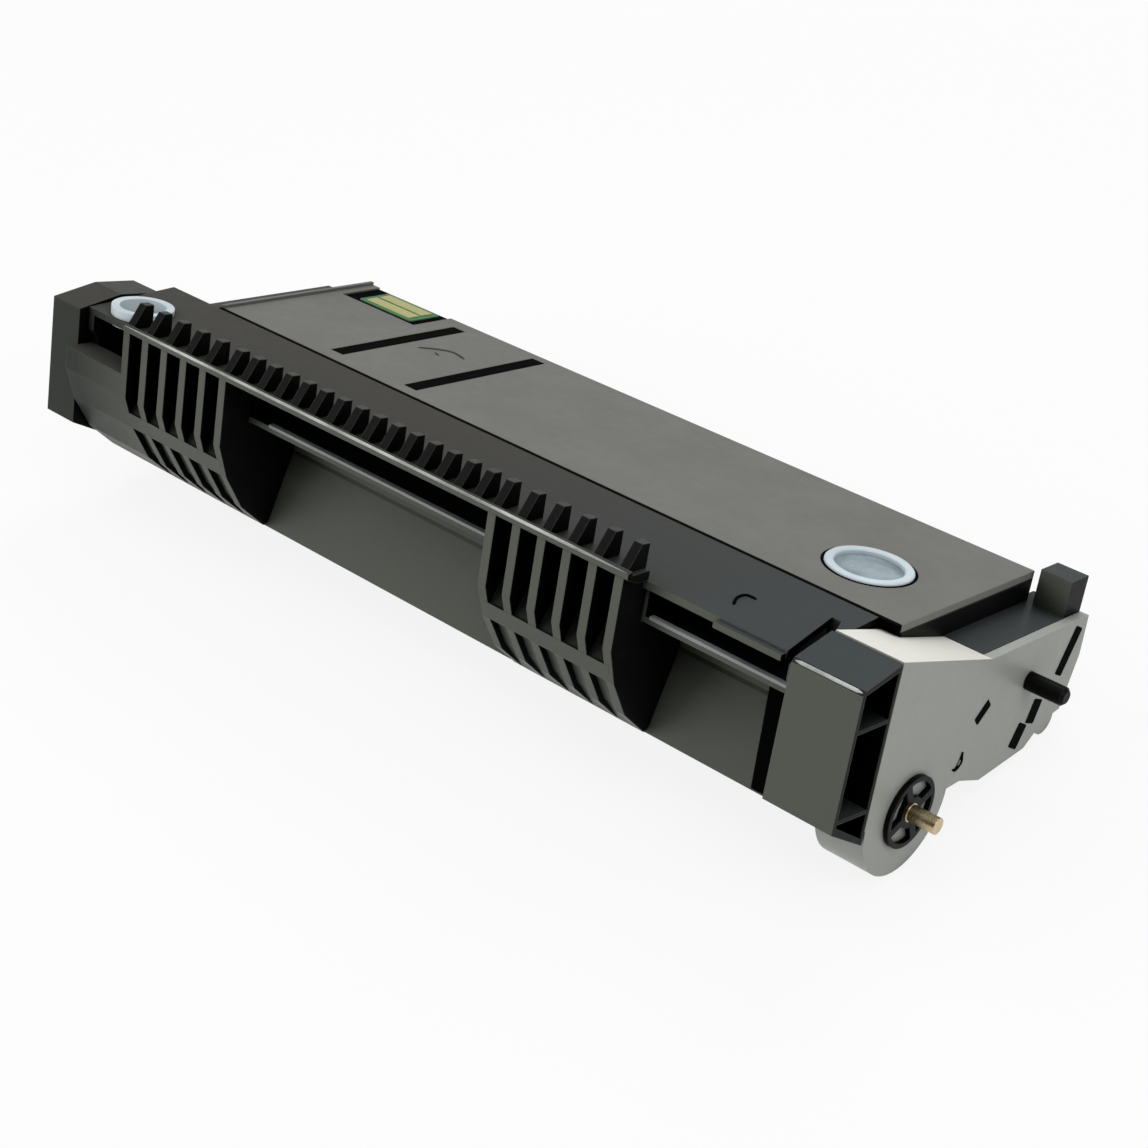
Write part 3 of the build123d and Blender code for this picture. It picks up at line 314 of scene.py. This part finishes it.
metalBase = {"darker": 0.8, "markNoise": (3.0, 0.6), "markRamp": (0.3, 0.7), "roughSpread": 0.12,
             "edgeRadius": 0.0002, "marks": 0.15, "markHeight": 0.00003}
turned = {**metalBase, "stretch": (8.0, 1.0, 1.0), "markScale": 600.0, "roughness": 0.24}
rolled = {**metalBase, "stretch": (0.2, 4.0, 4.0), "markScale": 900.0, "roughness": 0.34}
finishes["brass_shaft"] = metal("turnedBrass", {**turned, "colour": (0.62, 0.50, 0.30)})
finishes["gold_pads"] = metal("goldPads", {**rolled, "colour": (0.72, 0.70, 0.30)})
finishes["bright_steel"] = metal("turnedSteel", {**turned, "colour": (0.62, 0.62, 0.61)})
finishes["zinc_steel"] = metal("zincSheet", {**rolled, "colour": (0.55, 0.56, 0.57)})

slotOf = {entry["node"]: entry["material_slot"] for entry in frame["record"]["subparts"]}
for name, node in nodes.items():
    node.data.materials.clear()
    node.data.materials.append(finishes[slotOf[name]])
print("finishes on", len(nodes), "nodes")

# Small moulded details, and sheets and lines of painted shade and painted highlight. Their places are
# those of the level cartridge in millimetres: x from the right end plate, y from the front of the fins, z up.
perMetre = 1000.0
# Near-black for dark inlays and marks, and for the sheets of painted shade
blackInlayAndShade = plastic("blackInlayAndShade", {
    **plasticBase, "colour": (0.0015, 0.0015, 0.0015), "roughness": 0.7, "edgeWearAndHighlight": 0.0, "dust": 0.0,
    "ior": 1.06})


# Closed rings of points on a grid of ring and turn, each ring joined to the next one by quads. The
# two ends get flat faces, or, where it is endless, the last ring joins the first
def makeLoft(name, rings, finish, endless=False):
    count, around = rings.shape[:2]
    steps = count if endless else count - 1
    ring, turn = np.meshgrid(np.arange(steps), np.arange(around), indexing="ij")
    nextTurn, nextRing = (turn + 1) % around, (ring + 1) % count
    faces = np.stack([ring * around + turn, ring * around + nextTurn,
                      nextRing * around + nextTurn, nextRing * around + turn],
                     axis=-1).reshape(-1, 4).tolist()
    if not endless:
        faces += [list(range(around))[::-1], list(range((count - 1) * around, count * around))]
    mesh = bpy.data.meshes.new(name)
    mesh.from_pydata(toRest(rings.reshape(-1, 3) / perMetre).tolist(), [], faces)
    shape = bmesh.new()
    shape.from_mesh(mesh)
    bmesh.ops.recalc_face_normals(shape, faces=shape.faces)
    shape.to_mesh(mesh)
    shape.free()
    mesh.materials.append(finish)
    piece = bpy.data.objects.new(name, mesh)
    bpy.context.scene.collection.objects.link(piece)
    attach(piece, "housing")
    return piece


# Outline of a rectangle with rounded corners: each corner is a quarter circle about its own centre
def roundedOutline(length, width, corner, perCorner=5):
    angle = np.linspace(0.0, np.pi / 2, perCorner)
    quarter = np.stack([np.cos(angle), np.sin(angle)], axis=-1) * corner
    turns = np.arange(4)[:, None] * np.pi / 2
    cosine, sine = np.cos(turns), np.sin(turns)
    corners = np.stack([cosine * quarter[:, 0] - sine * quarter[:, 1],
                        sine * quarter[:, 0] + cosine * quarter[:, 1]], -1)
    signs = np.array([(1, 1), (-1, 1), (-1, -1), (1, -1)])[:, None, :]
    return (corners + signs * np.array([length / 2 - corner, width / 2 - corner])).reshape(-1, 2)


# A flat pad: the outline at its foot and near its top, and on top of it the outline drawn in
# towards its middle by the edge
def padRings(outline, low, high, edge):
    centre = outline.mean(axis=0)
    reach = np.linalg.norm(outline - centre, axis=1, keepdims=True)
    smaller = centre + (outline - centre) * (1.0 - edge / reach)
    heights = (low, high - edge, high)
    return np.stack([np.column_stack([flat, np.full(len(flat), height)])
                     for flat, height in zip((outline, outline, smaller), heights)])


# On the lid: dark strips in the two grooves, the bead along its front, and the bed round the chip
lidInlays = {
    "edge": 0.1,
    "pads": (  # name, middle x and y, length and width, corner, low and high z
        ("grooveStripLeft", -217.0, 71.5, 5.0, 50.8, 0.4, 36.3, 37.44),
        ("grooveStripRight", -185.5, 72.0, 5.0, 53.8, 0.4, 36.3, 37.44),
        ("jointBead", -138.2, 39.95, 248.0, 1.5, 0.3, 35.5, 37.42),
        ("chipBed", -242.0, 94.1, 31.8, 16.0, 0.4, 36.3, 36.9),
    ),
}
for name, x, y, length, width, corner, low, high in lidInlays["pads"]:
    outline = roundedOutline(length, width, corner) + (x, y)
    makeLoft(name, padRings(outline, low, high, lidInlays["edge"]), blackInlayAndShade)

# Dark pads in the end plate's slots, from their foot in the slot to a thin lip outside
platePads = {
    "foot": -1.2, "lip": 0.14, "edge": 0.1, "corner": 0.5,
    "slots": (  # name, y and z of the middle, angle in degrees, length, width
        ("slotPadLong", 103.1, 20.4, 66.0, 13.6, 3.9),
        ("slotPadUpper", 92.1, 6.1, 72.0, 6.8, 4.6),
        ("slotPadLower", 86.4, 0.6, 65.0, 7.0, 4.8),
        ("screwSlotPad", 64.0, 13.9, 44.0, 6.4, 2.9),
    ),
}
for name, y, z, angle, length, width in platePads["slots"]:
    cosine, sine = math.cos(math.radians(angle)), math.sin(math.radians(angle))
    outline = roundedOutline(length, width, platePads["corner"])
    outline = outline @ np.array([(cosine, sine), (-sine, cosine)]) + (y, z)
    rings = padRings(outline, platePads["foot"], platePads["lip"], platePads["edge"])
    makeLoft(name, rings[..., [2, 0, 1]], blackInlayAndShade)

# Painted shade: a black sheet on the front panel beside the end block, its left edge slanting. It
# lies along the panel's line from foot to head, and is thick along that line's normal
blockShadeSheet = {
    "foot": (20.7, -10.4), "head": (29.8, 16.2), "inset": 0.5, "thick": 0.35, "sunk": 0.4,
    "leftFoot": -33.4, "leftHead": -39.6, "right": -20.1,
}
foot, head = np.array(blockShadeSheet["foot"]), np.array(blockShadeSheet["head"])
along = (head - foot) / np.linalg.norm(head - foot)
outward = np.array([-along[1], along[0]])
footAt, headAt = foot + blockShadeSheet["inset"] * along, head - blockShadeSheet["inset"] * along
corners = np.array([(blockShadeSheet["leftFoot"], *footAt), (blockShadeSheet["right"], *footAt),
                    (blockShadeSheet["right"], *headAt), (blockShadeSheet["leftHead"], *headAt)])
lifts = np.array([-blockShadeSheet["sunk"], blockShadeSheet["thick"]])[:, None, None]
makeLoft("blockShadeSheet", corners[None] + lifts * np.array([0.0, *outward]), blackInlayAndShade)

# Painted highlight: light grey beads along the ledge's front edge, between the groups of fins and beside the end
# block
ledgeHighlights = {
    "middleY": 10.9, "width": 1.9, "corner": 0.6, "low": 25.0, "high": 25.75, "edge": 0.2,
    "spans": (("ledgeBeadLong", -204.0, -113.0), ("ledgeBeadShort", -65.0, -21.0)),
}
ledgeHighlightGrey = plastic("ledgeHighlightGrey", {
    **paleBase, "colour": (0.26, 0.28, 0.275), "roughness": 0.5, "paintedShadeLeast": 1.0})
for name, leftX, rightX in ledgeHighlights["spans"]:
    outline = roundedOutline(rightX - leftX, ledgeHighlights["width"], ledgeHighlights["corner"])
    outline = outline + ((leftX + rightX) / 2, ledgeHighlights["middleY"])
    rings = padRings(outline, ledgeHighlights["low"], ledgeHighlights["high"], ledgeHighlights["edge"])
    makeLoft(name, rings, ledgeHighlightGrey)

# Painted shade: black sheets on the rear walls of the end block's three open cells
cellShadeSheets = {
    "rearY": 18.6, "thick": 0.2, "sunk": 0.1, "edge": 0.02, "leftX": -18.4, "rightX": -0.3,
    "heights": (("cellLinerHigh", 25.3, 37.1), ("cellLinerMiddle", 1.5, 24.1),
                ("cellLinerLow", -6.5, 0.3)),
}
for name, lowZ, highZ in cellShadeSheets["heights"]:
    outline = np.array([(cellShadeSheets["leftX"], lowZ), (cellShadeSheets["rightX"], lowZ),
                        (cellShadeSheets["rightX"], highZ), (cellShadeSheets["leftX"], highZ)])
    rings = padRings(outline, cellShadeSheets["rearY"] - cellShadeSheets["thick"],
                     cellShadeSheets["rearY"] + cellShadeSheets["sunk"], cellShadeSheets["edge"])
    makeLoft(name, rings[..., [0, 2, 1]], blackInlayAndShade)

lineShape = {  # stations per span of the path, rounds of smoothing, sides, and how ends thin out
    "perSpan": 6, "smoothing": 6, "around": 8, "taper": 16, "endShare": 0.05,
}


# A raised line: circles about a path, in the plane of its side and the axis it varies least along.
# Its radius thins out at the ends with the root of 1 less the place from -1 to 1 to a high power
def makeLine(name, path, radius, finish):
    path = np.asarray(path, float)
    spans = len(path) - 1
    station = np.linspace(0.0, spans, lineShape["perSpan"] * spans + 1)
    smooth = np.stack([np.interp(station, np.arange(len(path)), places) for places in path.T],
                      axis=-1)
    for _ in range(lineShape["smoothing"]):
        smooth[1:-1] = (smooth[:-2] + 2.0 * smooth[1:-1] + smooth[2:]) / 4.0
    ahead = np.gradient(smooth, axis=0)
    ahead = ahead / np.linalg.norm(ahead, axis=1, keepdims=True)
    up = np.eye(3)[int(np.argmin(np.ptp(path, axis=0)))]
    side = np.cross(ahead, up)
    angle = np.linspace(0.0, 2 * np.pi, lineShape["around"], endpoint=False)
    place = np.linspace(-1.0, 1.0, len(smooth))
    share = np.sqrt(np.clip(1.0 - place ** lineShape["taper"], lineShape["endShare"], 1.0))
    circles = (np.cos(angle)[None, :, None] * side[:, None]
               + np.sin(angle)[None, :, None] * up[None, None])
    makeLoft(name, smooth[:, None] + radius * share[:, None, None] * circles, finish)


# Painted highlights as light lines along the edges of rail and block, and moulded curls on lid, strip and plate
lidMark = plastic("lidMark", {
    **plasticBase, "colour": (0.05, 0.05, 0.047), "roughness": 0.6, "edgeWearAndHighlight": 0.0, "paintedShadeLeast": 1.0})
# light grey for the painted highlights along the edges
paintedEdgeHighlight = plastic("paintedEdgeHighlight", {
    **plasticBase, "colour": (0.42, 0.43, 0.41), "cloud": 0.4, "cloudScale": 60.0,
    "roughness": 0.35, "paintedShadeLeast": 1.0})
lines = {  # path, radius, finish
    "railEdgeLine": (((-255.8, -0.15, 39.0), (-160.0, -0.15, 39.0), (-66.2, -0.15, 39.0)),
                     0.42, paintedEdgeHighlight),
    "blockEdgeLine": (((-19.4, 5.3, 35.3), (-10.0, 5.3, 35.3), (-0.6, 5.3, 35.3)), 0.5, paintedEdgeHighlight),
    "lidCurl": (((-210.0, 71.9, 37.3), (-206.2, 76.5, 37.3), (-202.0, 79.7, 37.3),
                 (-195.8, 77.7, 37.3)), 0.45, lidMark),
    "lidCurlTail": (((-204.4, 73.9, 37.3), (-203.2, 73.3, 37.3), (-201.9, 72.9, 37.3)),
                    0.35, lidMark),
    "stripArc": (((-45.4, 15.6, 35.75), (-47.3, 18.9, 36.0), (-46.9, 22.3, 36.2),
                  (-43.6, 22.2, 36.2)), 0.4, blackInlayAndShade),
    "plateHook": (((-0.05, 58.3, 4.6), (-0.05, 59.7, 1.4), (-0.05, 57.6, -0.3),
                   (-0.05, 55.5, 0.4)), 0.4, blackInlayAndShade),
}
for name, (path, radius, finish) in lines.items():
    makeLine(name, path, radius, finish)

# Fill cap: a rounded white ring round a dished disc, with a dark gap round it
fillCap = {  # centre x and y, the lid's top, and profiles of radius and height over the lid
    "centre": (-39.1, 62.9), "top": 37.4, "around": 96,
    "ring": ((9.0, -0.4), (9.05, 0.35), (9.35, 0.72), (9.9, 0.88), (10.6, 0.88), (11.15, 0.74),
             (11.5, 0.4), (11.58, 0.0), (11.58, -1.9), (9.0, -1.9)),
    "disc": ((0.05, -0.72), (3.0, -0.74), (6.0, -0.82), (8.0, -0.9), (8.6, -0.8), (9.1, -0.45),
             (9.1, -1.6), (0.05, -1.6)),
    "gap": ((11.55, 0.0), (11.6, 0.07), (12.3, 0.07), (12.4, 0.0), (12.3, -0.1), (11.6, -0.1)),
}


# Revolves a profile: x is the centre plus radius times cosine, y the same with sine
def makeTurned(name, profile, finish, closed):
    radius, height = np.array(profile, float).T
    angle = np.linspace(0.0, 2 * np.pi, fillCap["around"], endpoint=False)
    rings = np.stack([fillCap["centre"][0] + radius[:, None] * np.cos(angle),
                      fillCap["centre"][1] + radius[:, None] * np.sin(angle),
                      np.repeat(fillCap["top"] + height[:, None], len(angle), axis=1)], axis=-1)
    return makeLoft(name, rings, finish, endless=closed)


discTint = plastic("capDisc", {
    **paleBase, "colour": (0.22, 0.28, 0.31), "roughness": 0.22, "cloud": 0.35, "cloudScale": 90.0,
    "edgeWearAndHighlight": 0.0, "ior": 1.5})
whiteCap = finishes["white_plastic"]
capRing = makeTurned("fillCapRing", fillCap["ring"], whiteCap, True)
capDisc = makeTurned("fillCapDisc", fillCap["disc"], discTint, False)
makeTurned("fillCapGap", fillCap["gap"], blackInlayAndShade, True)
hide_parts("toner_fill_plug")
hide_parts("toner_fill_plug")
print("moulded details made")

studio = {
    "floorHalf": 20.0,
    "floorColour": (0.8, 0.8, 0.8), "floorRoughness": 0.9,
    "floorWhite": (0.86, 1.0),  # share of plain white that seen rays get of the floor, near and far
    "floorSpan": (0.35, 1.4),  # metres from the middle between which it grows
    "worldLight": 0.28,
    "worldSweep": (0.02, 0.2),  # rise of a ray between which the seen white falls to that grey
    "lampAim": (0.0, 0.0, 0.03),
    "lamps": (  # name, azimuth and elevation in degrees, distance and side in metres, watts
        ("topLamp", 330.0, 70.0, 1.1, 0.8, 3.6),
        ("frontLamp", 232.0, 22.0, 1.1, 0.7, 4.8),
        ("frontTopLamp", 195.0, 53.0, 1.2, 0.5, 2.4),
        ("backLamp", 100.0, 50.0, 1.2, 0.5, 4.2),
        ("rightLamp", 5.0, 30.0, 1.2, 0.6, 3.4),
    ),
}


# 1 for rays that show the background, as the largest of three: the camera's, and those mirrored or
# let through to it
def seenRay(tree):
    lightPath = tree.nodes.new("ShaderNodeLightPath")
    total = lightPath.outputs["Is Camera Ray"]
    for ray in ("Is Glossy Ray", "Is Transmission Ray"):
        join = tree.nodes.new("ShaderNodeMath")
        join.operation = "MAXIMUM"
        tree.links.new(total, join.inputs[0])
        tree.links.new(lightPath.outputs[ray], join.inputs[1])
        total = join.outputs["Value"]
    return total


# A square floor. Seen rays get plain white for a share that grows with the distance from the
# middle, and the lit floor with its shadow for the rest
def makeFloor():
    half = studio["floorHalf"]
    mesh = bpy.data.meshes.new("studioFloor")
    corners = [(-half, -half, 0), (half, -half, 0), (half, half, 0), (-half, half, 0)]
    mesh.from_pydata(corners, [], [(0, 1, 2, 3)])
    floor = bpy.data.objects.new("studioFloor", mesh)
    bpy.context.scene.collection.objects.link(floor)
    material, tree, shader = startMaterial("studioFloor")
    feed(tree, shader.inputs["Base Color"], studio["floorColour"])
    feed(tree, shader.inputs["Roughness"], studio["floorRoughness"])
    white = addNode(tree, "Emission", Strength=1.0)
    away = tree.nodes.new("ShaderNodeVectorMath")
    away.operation = "LENGTH"
    tree.links.new(tree.nodes.new("ShaderNodeTexCoord").outputs["Object"], away.inputs[0])
    grown = spanOf(tree, away.outputs["Value"], studio["floorSpan"], studio["floorWhite"])
    share = tree.nodes.new("ShaderNodeMath")
    share.operation = "MULTIPLY"
    tree.links.new(seenRay(tree), share.inputs[0])
    tree.links.new(grown, share.inputs[1])
    blend = tree.nodes.new("ShaderNodeMixShader")
    tree.links.new(share.outputs["Value"], blend.inputs["Fac"])
    tree.links.new(shader.outputs["BSDF"], blend.inputs[1])
    tree.links.new(white.outputs["Emission"], blend.inputs[2])
    tree.links.new(blend.outputs["Shader"], tree.nodes["Material Output"].inputs["Surface"])
    mesh.materials.append(material)


# Square lamps on rays from the aim, each turned to look back along its own ray
def makeLamps():
    for name, azimuth, elevation, distance, size, watts in studio["lamps"]:
        a, e = math.radians(azimuth), math.radians(elevation)
        direction = np.array([math.cos(a) * math.cos(e), math.sin(a) * math.cos(e), math.sin(e)])
        lamp = bpy.data.lights.new(name, "AREA")
        lamp.shape = "SQUARE"
        lamp.size = size
        lamp.energy = watts
        made = bpy.data.objects.new(name, lamp)
        bpy.context.scene.collection.objects.link(made)
        place = Matrix.Translation(np.array(studio["lampAim"]) + direction * distance)
        turn = (Matrix.Rotation(a + math.pi / 2, 4, "Z")
                @ Matrix.Rotation(math.pi / 2 - e, 4, "X"))
        made.matrix_world = place @ turn


# World of one grey light. Seen rays get white low down, as from a lit sweep behind the floor, which
# falls to that grey as the ray rises
def makeWorld():
    world = bpy.data.worlds.new("studioWorld")
    world.use_nodes = True
    bpy.context.scene.world = world
    tree = world.node_tree
    background = tree.nodes["Background"]
    background.inputs["Color"].default_value = (1.0, 1.0, 1.0, 1.0)
    height = partOf(tree, tree.nodes.new("ShaderNodeTexCoord").outputs["Generated"], "Z")
    sweep = spanOf(tree, height, studio["worldSweep"], (1.0, studio["worldLight"]))
    strength = spanOf(tree, seenRay(tree), (0.0, 1.0), (studio["worldLight"], sweep))
    tree.links.new(strength, background.inputs["Strength"])


makeFloor()
makeLamps()
makeWorld()

# Camera, worked out from the photograph's straight edges: place in metres, angles in degrees
view = {
    "place": (0.35739, -0.34527, 0.38341),
    "azimuth": 45.152, "elevation": 37.240, "roll": -4.610,
    "focalPixels": 2186.8, "imagePixels": 1148, "sensor": 36.0, "clipStart": 0.01,
}
lens = bpy.data.cameras.new("photoCamera")
lens.sensor_width = view["sensor"]
lens.lens = view["focalPixels"] / view["imagePixels"] * view["sensor"]
lens.clip_start = view["clipStart"]
camera = bpy.data.objects.new("photoCamera", lens)
bpy.context.scene.collection.objects.link(camera)
camera.matrix_world = (
    Matrix.Translation(view["place"]) @ Matrix.Rotation(math.radians(view["azimuth"]), 4, "Z")
    @ Matrix.Rotation(math.radians(90.0 - view["elevation"]), 4, "X")
    @ Matrix.Rotation(math.radians(view["roll"]), 4, "Z"))
bpy.context.scene.camera = camera
bpy.context.scene.view_settings.view_transform = "Standard"
print("studio and camera ready")
